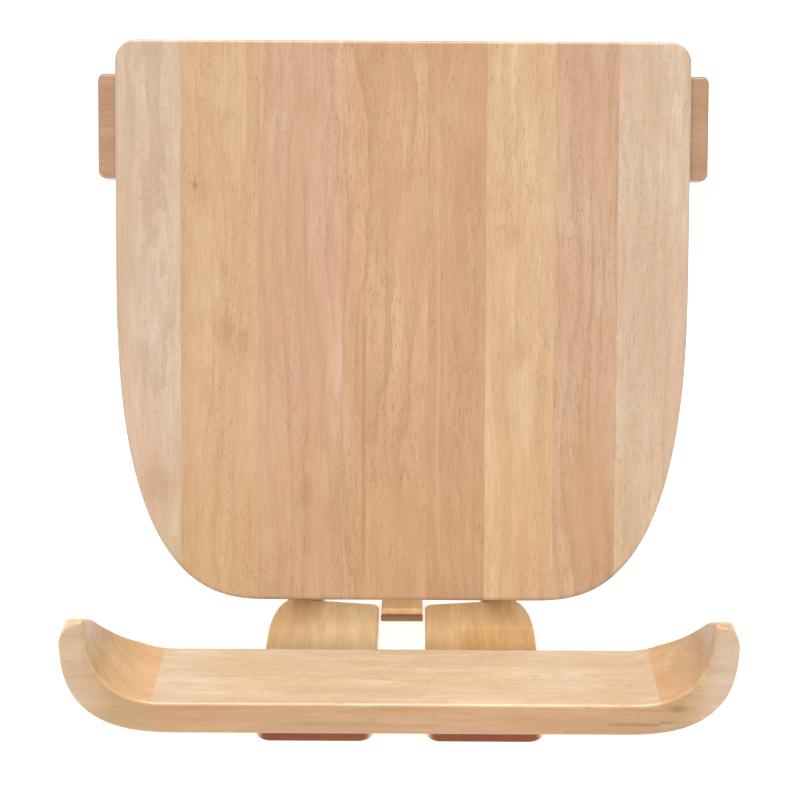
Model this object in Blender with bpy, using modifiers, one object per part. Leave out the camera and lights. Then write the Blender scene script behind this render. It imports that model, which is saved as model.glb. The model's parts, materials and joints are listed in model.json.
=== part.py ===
"""A bible stand in rubberwood. A board glued up from eight staves leans on a tilt hinge that two
knobs clamp; in front of it a ledge with upturned ends carries the book, on two flat feet that
runners tie to a rear rail. Metres, +Z up, the reader looks along +Y."""

import math

import bmesh
import bpy
from mathutils import Matrix, Vector

GAP = 0.0003  # left between neighbouring pieces, for glue or as running clearance

# Overall
BASE_DEPTH = 0.300  # front of the ledge to back of the rear rail
LEDGE_WIDTH = 0.3904  # across the upturned ends
BOARD_WIDTH = 0.349
BOARD_HEIGHT = 0.3412  # along the board
BOARD_THICKNESS = 0.018
BOARD_LEAN = math.radians(20.1)  # back from upright

# Board of staves
STAVE_SHARES = (40, 48, 51, 52, 35, 42, 38, 44)  # of the board's width, left to right
BOARD_TOP_RADIUS = 0.013
BOARD_SHOULDER_WIDTH = 0.094  # the large lower corners: across,
BOARD_SHOULDER_HEIGHT = 0.210  # and up the side
BOARD_SHOULDER_POWER = 2.7  # 2 is an ellipse, more is squarer
BOARD_SETBACK = 0.010  # board's lower front edge behind the ledge
BOARD_RAISE = 0.0274  # and above the ledge's top
ROUND_OVER = 0.003

# Pieces on the back of the board
BAR_LENGTH = 0.377
BAR_HEIGHT = 0.0644
BAR_THICKNESS = 0.022
BAR_BELOW_TOP = 0.018
SPINE_WIDTH = 0.040
SPINE_THICKNESS = 0.022
BATTEN_HEIGHT = 0.045
BATTEN_BELOW_AXIS = 0.020
PIVOT_UP = 0.025  # hinge axis above the board's lower edge
PIVOT_BEHIND = 0.018  # and behind its back
BATTEN_BEHIND_AXIS = 0.012

# Ledge
LEDGE_DEPTH = 0.0626
LEDGE_THICKNESS = 0.0208
LEDGE_TIP_RISE = 0.0544  # tips above the ledge's top
LEDGE_TIP_THICKNESS = 0.0159
LEDGE_TIP_OUTER_CORNER = (0.0145, 0.0168)  # across and down; the inner corner takes the rest
LEDGE_TIP_INNER_DROP = 0.0053
LEDGE_INNER_SWEEP = 0.0436  # width of the inner bend
LEDGE_INNER_POWER = 2.38
LEDGE_OUTER_SWEEP = 0.0663  # width of the outer bend
LEDGE_OUTER_POWER = 2.72
LEDGE_BEND_BELOW_TIP = 0.0094  # the inner bend ends this far below the tip
LEDGE_JOINTS = (0.0507, 0.0432)  # end blocks' glue joints in from the left and right ends
LEDGE_SLOPE_POWERS = (1.47, 1.14)  # of the ends' fall towards the back
LEDGE_SLOPE_OVERRUN = 0.002

# Feet, runners and rail, all of one slab thickness
SLAB = 0.018
PAD_HEIGHT = 0.0017
PAD_RADIUS = 0.009
FOOT_INSET = 0.0188  # behind the ledge's front
FOOT_INNER = 0.0154  # from the middle plane
FOOT_WIDTH = 0.0716
FOOT_LENGTH = 0.1323  # along the inner side
FOOT_SLANT = 0.009  # the outer side is longer by this
FOOT_CORNER = (0.014, 0.045)  # its outer rear corner is a quarter ellipse, across and along
FOOT_CORNER_STEPS = 7
FOOT_RADIUS_INNER = 0.005
FOOT_RADIUS_FRONT = 0.0095
RUNNER_INNER = 0.054
RUNNER_WIDTH = 0.023
RUNNER_LAP = 0.030
RAIL_LENGTH = 0.260
RAIL_DEPTH = 0.028
TONGUE_WIDTH = 0.0275
TONGUE_THICKNESS = 0.0076
TONGUE_BEHIND_FEET = -0.0108  # its front end, from the feet's inner rear corner
STRIP_WIDTH = 0.028
STRIP_DEPTH = 0.004
STRIP_BELOW_TONGUE = 0.0036
STRETCHER_THICKNESS = 0.016
STRETCHER_HEIGHT = 0.0215
STRETCHER_BEHIND_AXIS = 0.059
SMALL_EDGE = 0.001

# Hinge
CHEEK_THICKNESS = 0.020
CHEEK_NOSE_RADIUS = 0.016
CHEEK_FRONT_BEHIND_AXIS = 0.047
CHEEK_REAR_BEHIND_AXIS = 0.108
ROD_RADIUS = 0.004
ROD_CLEARANCE = 0.00009  # all round, so that the batten turns on the rod
WASHER_RADIUS = 0.010
WASHER_THICKNESS = 0.0016
KNOB_RADIUS = 0.0142
KNOB_LOBE = 0.0013
KNOB_LOBES = 7
KNOB_LENGTH = 0.022
KNOB_WALL = 0.006  # left over the end of the rod

# Screws
SCREW_HEAD_RADIUS = 0.0037
SCREW_SHANK_RADIUS = 0.0018
SCREW_HEAD_DEPTH = 0.0031
SCREW_RIM = 0.0005
SCREW_TIP = 0.004
FOOT_SCREW_SHARES = (0.22, 0.78)  # of a foot's width
FOOT_SCREW_BEHIND_FRONT = 0.018
CHEEK_SCREWS_BEHIND_NOSE = (0.018, 0.040)
BAR_SCREW_SHARES = (-0.43, -0.177, 0.2, 0.43)  # of the board's width, each in the middle of a stave
SPINE_SCREW_SHARES = (0.28, 0.78)  # of the spine's length
BATTEN_SCREWS_ACROSS = (-0.0445, 0.0335)
BATTEN_SCREW_BELOW_TOP = 0.009
PAD_INSET = 0.018  # from the feet's front and the rail's ends
SCREW_LENGTH = 0.032
SCREW_SUNK = 0.0002
SCREW_STEPS = 12
ROUND_STEPS = 24
CUT_MARGIN = 0.010  # how far a cutter stands out of what it cuts

# Colours, 8-bit sRGB
STAVE_COLOURS = (
    (223, 194, 168),
    (224, 185, 148),
    (217, 175, 142),
    (218, 175, 137),
    (215, 169, 131),
    (226, 188, 148),
    (217, 178, 145),
    (223, 191, 163),
)
PLANK_COLOUR = (229, 197, 162)
BLOCK_COLOUR = (217, 172, 127)
FOOT_COLOUR = (226, 180, 130)
BAR_COLOUR = (198, 152, 118)
FRAME_COLOUR = (214, 161, 110)
STRIP_COLOUR = (146, 100, 75)
RUBBER_COLOUR = (38, 36, 34)
STEEL_COLOUR = (176, 174, 170)
KNOB_COLOUR = (44, 42, 40)

# Worked out from the sizes above
FRONT = -BASE_DEPTH / 2
REAR = BASE_DEPTH / 2
SLAB_LOW = PAD_HEIGHT + GAP
SLAB_TOP = SLAB_LOW + SLAB
LEDGE_LOW = SLAB_TOP + GAP
LEDGE_TOP = LEDGE_LOW + LEDGE_THICKNESS
LEDGE_REAR = FRONT + LEDGE_DEPTH
TIP_TOP = LEDGE_TOP + LEDGE_TIP_RISE
LAP = (SLAB_LOW + SLAB_TOP) / 2
FOOT_FRONT = FRONT + FOOT_INSET
FOOT_REAR = FOOT_FRONT + FOOT_LENGTH
RAIL_FRONT = REAR - RAIL_DEPTH
TONGUE_FRONT = FOOT_REAR + TONGUE_BEHIND_FEET
UP = Vector((0, math.sin(BOARD_LEAN), math.cos(BOARD_LEAN)))
BACK = Vector((0, math.cos(BOARD_LEAN), -math.sin(BOARD_LEAN)))
PIVOT = (
    Vector((0, LEDGE_REAR + BOARD_SETBACK, LEDGE_TOP + BOARD_RAISE))
    + UP * PIVOT_UP
    + BACK * (BOARD_THICKNESS + PIVOT_BEHIND)
)
# In the board's own frame, x across, y back and z up the board, from the hinge axis
BOARD_LOW = -PIVOT_UP
BOARD_HIGH = BOARD_LOW + BOARD_HEIGHT
BOARD_BACK = -PIVOT_BEHIND
BOARD_FACE = BOARD_BACK - BOARD_THICKNESS
BAR_HIGH = BOARD_HIGH - BAR_BELOW_TOP
BAR_LOW = BAR_HIGH - BAR_HEIGHT
BATTEN_LOW = -BATTEN_BELOW_AXIS
BATTEN_HIGH = BATTEN_LOW + BATTEN_HEIGHT
BATTEN_HALF = RUNNER_INNER - GAP
CHEEK_OUTER = RUNNER_INNER + CHEEK_THICKNESS
KNOB_FACE = CHEEK_OUTER + WASHER_THICKNESS + 2 * GAP
ROD_END = KNOB_FACE + KNOB_LENGTH - KNOB_WALL

STAND_UP = Matrix.Rotation(math.radians(90), 4, "X")  # a plate's outline goes to X and Z
TO_SIDE = Matrix(((0, 0, 1, 0), (1, 0, 0, 0), (0, 1, 0, 0), (0, 0, 0, 1)))  # to Y and Z
ALONG_X = Matrix.Rotation(math.radians(90), 4, "Y")


def clear_scene():
    for obj in list(bpy.data.objects):
        bpy.data.objects.remove(obj)
    for name in ("bible_stand", "cutters"):
        bpy.context.scene.collection.children.link(bpy.data.collections.new(name))


def linear(colour):
    """Linear RGBA of an 8-bit sRGB colour."""
    shares = [value / 255 for value in colour]
    return [s / 12.92 if s <= 0.04045 else ((s + 0.055) / 1.055) ** 2.4 for s in shares] + [1]


def finish(name, colour, roughness, metallic=0.0):
    material = bpy.data.materials.new("finish_" + name)
    material.use_nodes = True
    shader = material.node_tree.nodes["Principled BSDF"]
    shader.inputs["Base Color"].default_value = linear(colour)
    shader.inputs["Roughness"].default_value = roughness
    shader.inputs["Metallic"].default_value = metallic
    material.diffuse_color = linear(colour)
    return material


def piece(name, mesh, colour, parent=None, roughness=0.42, metallic=0.0):
    """A sub-part: its object in the stand's collection, with a finish of its own."""
    mesh.name = name
    obj = bpy.data.objects.new(name, mesh)
    mesh.materials.append(finish(name, colour, roughness, metallic))
    bpy.data.collections["bible_stand"].objects.link(obj)
    obj.parent = parent
    return obj


def cutter(name, mesh, parent=None):
    obj = bpy.data.objects.new(name, mesh)
    bpy.data.collections["cutters"].objects.link(obj)
    obj.parent = parent
    obj.hide_render = True
    obj.display_type = "WIRE"
    return obj


def boolean(obj, other, operation):
    change = obj.modifiers.new(other.name, "BOOLEAN")
    change.operation = operation
    change.solver = "EXACT"
    change.object = other


def soften(obj, width, steps=2):
    """Rounds the edges over."""
    change = obj.modifiers.new("soften", "BEVEL")
    change.width = width
    change.segments = steps
    change.limit_method = "ANGLE"
    change.use_clamp_overlap = True


def box(low, high):
    """A box between two corners, given in either order along each axis."""
    low, high = Vector(map(min, low, high)), Vector(map(max, low, high))
    shape = bmesh.new()
    placed = Matrix.Translation((low + high) / 2) @ Matrix.Diagonal((*(high - low), 1))
    bmesh.ops.create_cube(shape, size=1, matrix=placed)
    return to_mesh(shape, "box")


def cylinder(radius, start, end, steps=ROUND_STEPS):
    """A cylinder along X."""
    shape = bmesh.new()
    placed = Matrix.Translation(((start + end) / 2, 0, 0)) @ ALONG_X
    bmesh.ops.create_cone(
        shape,
        cap_ends=True,
        segments=steps,
        radius1=radius,
        radius2=radius,
        depth=abs(end - start),
        matrix=placed,
    )
    return to_mesh(shape, "cylinder", smooth=True)


def to_mesh(shape, name, smooth=False):
    bmesh.ops.recalc_face_normals(shape, faces=shape.faces)
    for face in shape.faces:
        face.smooth = smooth and len(face.verts) == 4
    mesh = bpy.data.meshes.new(name)
    shape.to_mesh(mesh)
    shape.free()
    return mesh


def plate(outline, low, high, edge=0.0, edge_steps=1, turn=None):
    """A closed outline in X and Y, filled from low to high, its edges rounded over by edge."""
    curve = bpy.data.curves.new("plate", "CURVE")
    curve.dimensions = "2D"
    curve.fill_mode = "BOTH"
    curve.extrude = (high - low) / 2 - edge
    curve.bevel_depth = edge
    curve.bevel_resolution = edge_steps
    curve.offset = -edge
    spline = curve.splines.new("POLY")
    spline.points.add(len(outline) - 1)
    for point, (x, y) in zip(spline.points, outline):
        point.co = (x, y, 0, 1)
    spline.use_cyclic_u = True
    maker = bpy.data.objects.new("plate", curve)
    bpy.context.scene.collection.objects.link(maker)
    graph = bpy.context.evaluated_depsgraph_get()
    mesh = bpy.data.meshes.new_from_object(maker.evaluated_get(graph))
    bpy.data.objects.remove(maker)
    bpy.data.curves.remove(curve)
    shape = bmesh.new()
    shape.from_mesh(mesh)
    bpy.data.meshes.remove(mesh)
    bmesh.ops.remove_doubles(shape, verts=shape.verts, dist=0.00001)
    placed = (turn or Matrix()) @ Matrix.Translation((0, 0, (low + high) / 2))
    bmesh.ops.transform(shape, matrix=placed, verts=shape.verts)
    return to_mesh(shape, "plate")


def spin(obj, steps):
    """Turns a profile that runs from top to bottom at +X into a solid round Z."""
    change = obj.modifiers.new("spin", "SCREW")
    change.steps = steps
    change.render_steps = steps
    change.use_merge_vertices = True
    change.merge_threshold = 0.00005
    change.use_smooth_shade = True


def rounded(corners, steps=4):
    """An outline through corners of (x, y, radius), each turned with its radius."""
    outline = []
    for i, (x, y, radius) in enumerate(corners):
        here = Vector((x, y))
        before = (Vector(corners[i - 1][:2]) - here).normalized()
        after = (Vector(corners[(i + 1) % len(corners)][:2]) - here).normalized()
        half = before.angle(after) / 2
        middle = here + (before + after).normalized() * radius / math.sin(half)
        start = here + before * radius / math.tan(half) - middle
        end = here + after * radius / math.tan(half) - middle
        sweep = start.angle_signed(end)
        for step in range(steps + 1):
            turn = Matrix.Rotation(-sweep * step / steps, 2)
            outline.append(tuple(middle + turn @ start))
    return outline


def superellipse(middle, across, down, power, steps):
    """A quarter of a superellipse, from below its middle round to beside it."""
    for step in range(steps + 1):
        angle = math.pi / 2 * step / steps
        x = middle[0] + across * math.sin(angle) ** (2 / power)
        yield x, middle[1] - down * math.cos(angle) ** (2 / power)


def arc(middle, radius, start, end, steps):
    for step in range(steps + 1):
        angle = math.radians(start + (end - start) * step / steps)
        yield middle[0] + radius * math.cos(angle), middle[1] + radius * math.sin(angle)


def both_sides(right):
    """A right-hand half outline, run from the middle out and back, closed by its mirror image."""
    return right + [(-x, y) for x, y in reversed(right)]


def screw_profile(name, top, room):
    """Half a countersunk screw, from its head at the top; room makes it the hole for one."""
    head = SCREW_HEAD_RADIUS + room
    shank = SCREW_SHANK_RADIUS + room
    rim = -SCREW_SUNK - SCREW_RIM - room
    corners = [
        (0, 0, top),
        (head, 0, top),
        (head, 0, rim),
        (shank, 0, -SCREW_SUNK - SCREW_HEAD_DEPTH - room),
        (shank, 0, SCREW_TIP - SCREW_LENGTH),
        (0, 0, -SCREW_LENGTH - room),
    ]
    mesh = bpy.data.meshes.new(name)
    mesh.from_pydata(corners, [(i, i + 1) for i in range(len(corners) - 1)], [])
    return mesh


def fixing(name, at, outward, through, parent=None):
    """A countersunk wood screw, its head facing outward, and its hole in the pieces it holds."""
    aim = Vector(outward).to_track_quat("Z", "Y").to_euler()
    screw = piece(name, screw_profile(name, -SCREW_SUNK, 0), STEEL_COLOUR, parent, 0.3, 1.0)
    hole = cutter(name + "_hole", screw_profile(name, SMALL_EDGE, GAP), parent)
    for obj in (screw, hole):
        spin(obj, SCREW_STEPS)
        obj.location = at
        obj.rotation_euler = aim
    for held in through:
        boolean(held, hole, "DIFFERENCE")


def corner(middle, across, up, start, end, steps):
    """Part of an ellipse, between two angles."""
    for x, y in arc((0, 0), 1, start, end, steps):
        yield middle[0] + across * x, middle[1] + up * y


def ledge_outline():
    half = LEDGE_WIDTH / 2
    bend = TIP_TOP - LEDGE_BEND_BELOW_TIP
    across, down = LEDGE_TIP_OUTER_CORNER
    outer = superellipse(
        (half - LEDGE_OUTER_SWEEP, TIP_TOP - down),
        LEDGE_OUTER_SWEEP,
        TIP_TOP - down - LEDGE_LOW,
        LEDGE_OUTER_POWER,
        12,
    )
    outer_corner = corner((half - across, TIP_TOP - down), across, down, 15, 90, 5)
    inner_corner = corner(
        (half - across, TIP_TOP - LEDGE_TIP_INNER_DROP),
        LEDGE_TIP_THICKNESS - across,
        LEDGE_TIP_INNER_DROP,
        120,
        180,
        2,
    )
    inner = superellipse(
        (half - LEDGE_TIP_THICKNESS - LEDGE_INNER_SWEEP, bend),
        LEDGE_INNER_SWEEP,
        bend - LEDGE_TOP,
        LEDGE_INNER_POWER,
        10,
    )
    return both_sides([*outer, *outer_corner, *inner_corner, *reversed(list(inner))])


def ledge_side_outline():
    """Seen from the side: the upturned ends fall away towards the back."""
    outline = [(FRONT - CUT_MARGIN, TIP_TOP + GAP)]
    run = LEDGE_DEPTH + LEDGE_SLOPE_OVERRUN
    along, fall = LEDGE_SLOPE_POWERS
    steps = 12
    for step in range(steps + 1):
        share = math.sin(math.pi / 2 * step / steps)
        rise = (1 - share**along) ** (1 / fall)
        outline.append((FRONT + run * share, LEDGE_TOP + GAP + LEDGE_TIP_RISE * rise))
    outline.append((FRONT + run, LEDGE_LOW - CUT_MARGIN))
    outline.append((FRONT - CUT_MARGIN, LEDGE_LOW - CUT_MARGIN))
    return outline


def make_ledge():
    """The ledge is one blank, sloped at its ends and sawn at the two glue joints."""
    whole = plate(
        ledge_outline(), -LEDGE_REAR, -FRONT, ROUND_OVER, edge_steps=1, turn=STAND_UP
    )
    blank = cutter("ledge_blank", whole)
    reach = LEDGE_WIDTH / 2 + CUT_MARGIN
    side = cutter("ledge_side", plate(ledge_side_outline(), -reach, reach, turn=TO_SIDE))
    left, right = (LEDGE_WIDTH / 2 - inset for inset in LEDGE_JOINTS)
    stretches = (
        ("ledge_end_left", -reach, -left - GAP / 2, BLOCK_COLOUR),
        ("ledge_plank", -left + GAP / 2, right - GAP / 2, PLANK_COLOUR),
        ("ledge_end_right", right + GAP / 2, reach, BLOCK_COLOUR),
    )
    made = {}
    for name, start, end, colour in stretches:
        low = (start, FRONT - CUT_MARGIN, LEDGE_LOW - CUT_MARGIN)
        high = (end, LEDGE_REAR + CUT_MARGIN, TIP_TOP + CUT_MARGIN)
        made[name] = piece(name, box(low, high), colour)
        boolean(made[name], blank, "INTERSECT")
        if name != "ledge_plank":
            boolean(made[name], side, "INTERSECT")
    return made["ledge_plank"]


def foot_rear(x):
    """Where a foot's slanting rear edge lies at a distance x from the middle plane."""
    return FOOT_REAR + FOOT_SLANT * (x - FOOT_INNER) / FOOT_WIDTH


def foot_corner(side):
    """The outer rear corner, from the outer side to the slanting rear edge."""
    across, along = FOOT_CORNER
    bend = []
    for step in range(FOOT_CORNER_STEPS + 1):
        turn = math.radians(90) * step / FOOT_CORNER_STEPS
        x = FOOT_INNER + FOOT_WIDTH - across * (1 - math.cos(turn))
        bend.append((side * x, foot_rear(x) - along * (1 - math.sin(turn))))
    return bend


def foot_outline(side):
    outer = FOOT_INNER + FOOT_WIDTH
    corners = [
        (side * FOOT_INNER, foot_rear(FOOT_INNER), FOOT_RADIUS_INNER),
        (side * FOOT_INNER, FOOT_FRONT, FOOT_RADIUS_FRONT),
        (side * outer, FOOT_FRONT, FOOT_RADIUS_FRONT),
        (side * outer, foot_rear(outer), FOOT_RADIUS_INNER),
    ]
    turned = rounded(corners, FOOT_CORNER_STEPS)
    outline = turned[: -FOOT_CORNER_STEPS - 1] + foot_corner(side)
    return outline if side > 0 else outline[::-1]


def make_foot(name, side):
    mesh = plate(foot_outline(side), SLAB_LOW, SLAB_TOP, ROUND_OVER * 2 / 3)
    foot = piece(name, mesh, FOOT_COLOUR)
    lap = box(
        (side * (RUNNER_INNER - GAP), lap_front() - GAP, SLAB_LOW - CUT_MARGIN),
        (side * (RUNNER_INNER + RUNNER_WIDTH + GAP), REAR, LAP + GAP / 2),
    )
    boolean(foot, cutter(name + "_lap", lap), "DIFFERENCE")
    return foot


def lap_front():
    return foot_rear(RUNNER_INNER) - RUNNER_LAP


def make_runner(name, side):
    """Lapped under the foot in front, and over the rear rail behind."""
    inner, outer = side * RUNNER_INNER, side * (RUNNER_INNER + RUNNER_WIDTH)
    whole = box((inner, lap_front(), SLAB_LOW), (outer, REAR - SMALL_EDGE, SLAB_TOP))
    runner = piece(name, whole, FRAME_COLOUR)
    wide_in = side * (RUNNER_INNER - CUT_MARGIN)
    wide_out = side * (RUNNER_INNER + RUNNER_WIDTH + CUT_MARGIN)
    shoulder = [
        (wide_in, lap_front() - CUT_MARGIN),
        (wide_out, lap_front() - CUT_MARGIN),
        (wide_out, foot_rear(abs(wide_out)) + GAP),
        (wide_in, foot_rear(abs(wide_in)) + GAP),
    ]
    if side < 0:
        shoulder.reverse()
    front = cutter(name + "_shoulder", plate(shoulder, LAP - GAP / 2, SLAB_TOP + CUT_MARGIN))
    boolean(runner, front, "DIFFERENCE")
    low = (wide_in, RAIL_FRONT - GAP, SLAB_LOW - CUT_MARGIN)
    rear = cutter(name + "_rear_lap", box(low, (wide_out, REAR + CUT_MARGIN, LAP + GAP / 2)))
    boolean(runner, rear, "DIFFERENCE")
    return runner


def make_rail():
    half = RAIL_LENGTH / 2
    whole = box((-half, RAIL_FRONT, SLAB_LOW), (half, REAR, SLAB_TOP))
    rail = piece("rear_rail", whole, FRAME_COLOUR)
    soften(rail, ROUND_OVER * 2 / 3)
    for name, side in (("left", -1), ("right", 1)):
        low = (side * (RUNNER_INNER - GAP), RAIL_FRONT - CUT_MARGIN, LAP - GAP / 2)
        high = (side * (RUNNER_INNER + RUNNER_WIDTH + GAP), REAR + CUT_MARGIN, SLAB_TOP + CUT_MARGIN)
        boolean(rail, cutter("rail_lap_" + name, box(low, high)), "DIFFERENCE")
    half = TONGUE_WIDTH / 2 + GAP
    low = (-half, RAIL_FRONT - CUT_MARGIN, SLAB_TOP - TONGUE_THICKNESS - GAP)
    high = (half, RAIL_FRONT + RAIL_DEPTH / 2 + GAP, SLAB_TOP + CUT_MARGIN)
    boolean(rail, cutter("rail_notch", box(low, high)), "DIFFERENCE")


def make_tongue():
    """A flat bar from between the feet to the rear rail, with a strip across its front end."""
    low = SLAB_TOP - TONGUE_THICKNESS
    half = TONGUE_WIDTH / 2
    whole = box(
        (-half, TONGUE_FRONT + STRIP_DEPTH + GAP, low),
        (half, RAIL_FRONT + RAIL_DEPTH / 2, SLAB_TOP),
    )
    soften(piece("centre_tongue", whole, FRAME_COLOUR), SMALL_EDGE)
    half = STRIP_WIDTH / 2
    whole = box(
        (-half, TONGUE_FRONT, low),
        (half, TONGUE_FRONT + STRIP_DEPTH, SLAB_TOP - STRIP_BELOW_TONGUE),
    )
    soften(piece("tie_strip", whole, STRIP_COLOUR), SMALL_EDGE)


def make_stretcher():
    front = PIVOT.y + STRETCHER_BEHIND_AXIS
    half = RUNNER_INNER - GAP
    low = SLAB_TOP + GAP
    whole = box((-half, front, low), (half, front + STRETCHER_THICKNESS, low + STRETCHER_HEIGHT))
    soften(piece("stretcher", whole, FRAME_COLOUR), SMALL_EDGE)


def cheek_outline():
    """Seen from the side: a nose round the hinge axis, running back and down to the runner."""
    foot = SLAB_TOP + GAP
    front = Vector((PIVOT.y + CHEEK_FRONT_BEHIND_AXIS, foot))
    rear = Vector((PIVOT.y + CHEEK_REAR_BEHIND_AXIS, foot))
    nose = Vector(PIVOT.yz)
    turns = []
    for corner, side in ((rear, 1), (front, -1)):
        reach = corner - nose
        lean = math.acos(CHEEK_NOSE_RADIUS / reach.length)
        turns.append(math.degrees(math.atan2(reach.y, reach.x) + side * lean))
    round_nose = arc(nose, CHEEK_NOSE_RADIUS, turns[0], turns[1] + 360, 14)
    return [tuple(front), tuple(rear), *round_nose]


def make_cheek(name, side):
    inner, outer = sorted((side * RUNNER_INNER, side * CHEEK_OUTER))
    mesh = plate(cheek_outline(), inner, outer, SMALL_EDGE, 0, TO_SIDE)
    return piece(name, mesh, FRAME_COLOUR)


def make_rod(drilled):
    rod = piece("pivot_rod", cylinder(ROD_RADIUS, -ROD_END, ROD_END), STEEL_COLOUR, None, 0.25, 1)
    rod.location = PIVOT
    reach = ROD_END + GAP
    bore = cutter("rod_bore", cylinder(ROD_RADIUS + ROD_CLEARANCE, -reach, reach))
    bore.location = PIVOT
    for held in drilled:
        boolean(held, bore, "DIFFERENCE")


def make_washer(name, side):
    near = side * (CHEEK_OUTER + GAP)
    mesh = cylinder(WASHER_RADIUS, near, near + side * WASHER_THICKNESS)
    washer = piece(name, mesh, STEEL_COLOUR, None, 0.3, 1)
    washer.location = PIVOT
    return washer


def make_knob(name, side):
    outline = []
    steps = KNOB_LOBES * 6
    for step in range(steps):
        angle = 2 * math.pi * step / steps
        radius = KNOB_RADIUS + KNOB_LOBE * math.cos(KNOB_LOBES * angle)
        outline.append((radius * math.cos(angle), radius * math.sin(angle)))
    near, far = sorted((0, side * KNOB_LENGTH))
    knob = piece(name, plate(outline, near, far, SMALL_EDGE, 0, TO_SIDE), KNOB_COLOUR, None, 0.5)
    knob.location = PIVOT + Vector((side * KNOB_FACE, 0, 0))
    return knob


def board_outline():
    half = BOARD_WIDTH / 2
    shoulder = superellipse(
        (half - BOARD_SHOULDER_WIDTH, BOARD_LOW + BOARD_SHOULDER_HEIGHT),
        BOARD_SHOULDER_WIDTH,
        BOARD_SHOULDER_HEIGHT,
        BOARD_SHOULDER_POWER,
        18,
    )
    top = arc(
        (half - BOARD_TOP_RADIUS, BOARD_HIGH - BOARD_TOP_RADIUS), BOARD_TOP_RADIUS, 0, 90, 4
    )
    return both_sides([*shoulder, *top])


def make_board(frame):
    """One blank sawn into staves, so that the glued board keeps a single outline."""
    whole = plate(board_outline(), -BOARD_BACK, -BOARD_FACE, ROUND_OVER, 1, STAND_UP)
    blank = cutter("board_blank", whole, frame)
    staves = []
    left = -BOARD_WIDTH / 2
    for number, (share, colour) in enumerate(zip(STAVE_SHARES, STAVE_COLOURS), 1):
        right = left + BOARD_WIDTH * share / sum(STAVE_SHARES)
        start = left - CUT_MARGIN if number == 1 else left + GAP / 2
        end = right + CUT_MARGIN if number == len(STAVE_SHARES) else right - GAP / 2
        low = (start, BOARD_FACE - CUT_MARGIN, BOARD_LOW - CUT_MARGIN)
        high = (end, BOARD_BACK + CUT_MARGIN, BOARD_HIGH + CUT_MARGIN)
        stave = piece(f"board_stave_{number}", box(low, high), colour, frame)
        boolean(stave, blank, "INTERSECT")
        staves.append((left, right, stave))
        left = right
    return staves


def stave_at(staves, x):
    """The stave that holds the point x across the board."""
    return next(stave for left, right, stave in staves if left <= x < right)


def make_board_back(frame, staves):
    near = BOARD_BACK + GAP
    half = BAR_LENGTH / 2
    corners = [(side * half, z, ROUND_OVER) for side, z in ((-1, BAR_LOW), (1, BAR_LOW))]
    corners += [(side * half, z, ROUND_OVER) for side, z in ((1, BAR_HIGH), (-1, BAR_HIGH))]
    mesh = plate(rounded(corners, 3), -near - BAR_THICKNESS, -near, ROUND_OVER, 1, STAND_UP)
    bar = piece("cross_bar", mesh, BAR_COLOUR, frame)
    half = SPINE_WIDTH / 2
    low = (-half, near, BATTEN_HIGH + GAP)
    spine = piece(
        "spine", box(low, (half, near + SPINE_THICKNESS, BAR_LOW - GAP)), FRAME_COLOUR, frame
    )
    soften(spine, SMALL_EDGE)
    low = (-BATTEN_HALF, near, BATTEN_LOW)
    batten = piece(
        "hinge_batten", box(low, (BATTEN_HALF, BATTEN_BEHIND_AXIS, BATTEN_HIGH)), FRAME_COLOUR, frame
    )
    soften(batten, SMALL_EDGE)
    middle = (BAR_LOW + BAR_HIGH) / 2
    for number, share in enumerate(BAR_SCREW_SHARES, 1):
        x = share * BOARD_WIDTH
        at = (x, near + BAR_THICKNESS, middle)
        fixing(f"bar_screw_{number}", at, (0, 1, 0), (bar, stave_at(staves, x)), frame)
    for number, share in enumerate(SPINE_SCREW_SHARES, 1):
        at = (0, near + SPINE_THICKNESS, BATTEN_HIGH + share * (BAR_LOW - BATTEN_HIGH))
        fixing(f"spine_screw_{number}", at, (0, 1, 0), (spine, stave_at(staves, 0)), frame)
    for name, x in zip(("left", "right"), BATTEN_SCREWS_ACROSS):
        at = (x, BATTEN_BEHIND_AXIS, BATTEN_HIGH - BATTEN_SCREW_BELOW_TOP)
        fixing("batten_screw_" + name, at, (0, 1, 0), (batten, stave_at(staves, x)), frame)
    return batten


def make_pads():
    for name, x, y in (
        ("front", FOOT_INNER + FOOT_WIDTH / 2, FOOT_FRONT + PAD_INSET),
        ("rear", RAIL_LENGTH / 2 - PAD_INSET, REAR - RAIL_DEPTH / 2),
    ):
        for hand, side in (("left", -1), ("right", 1)):
            mesh = cylinder(PAD_RADIUS, -PAD_HEIGHT / 2, PAD_HEIGHT / 2)
            mesh.transform(ALONG_X)
            pad = piece(f"pad_{name}_{hand}", mesh, RUBBER_COLOUR, None, 0.85)
            pad.location = (side * x, y, PAD_HEIGHT / 2)


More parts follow.
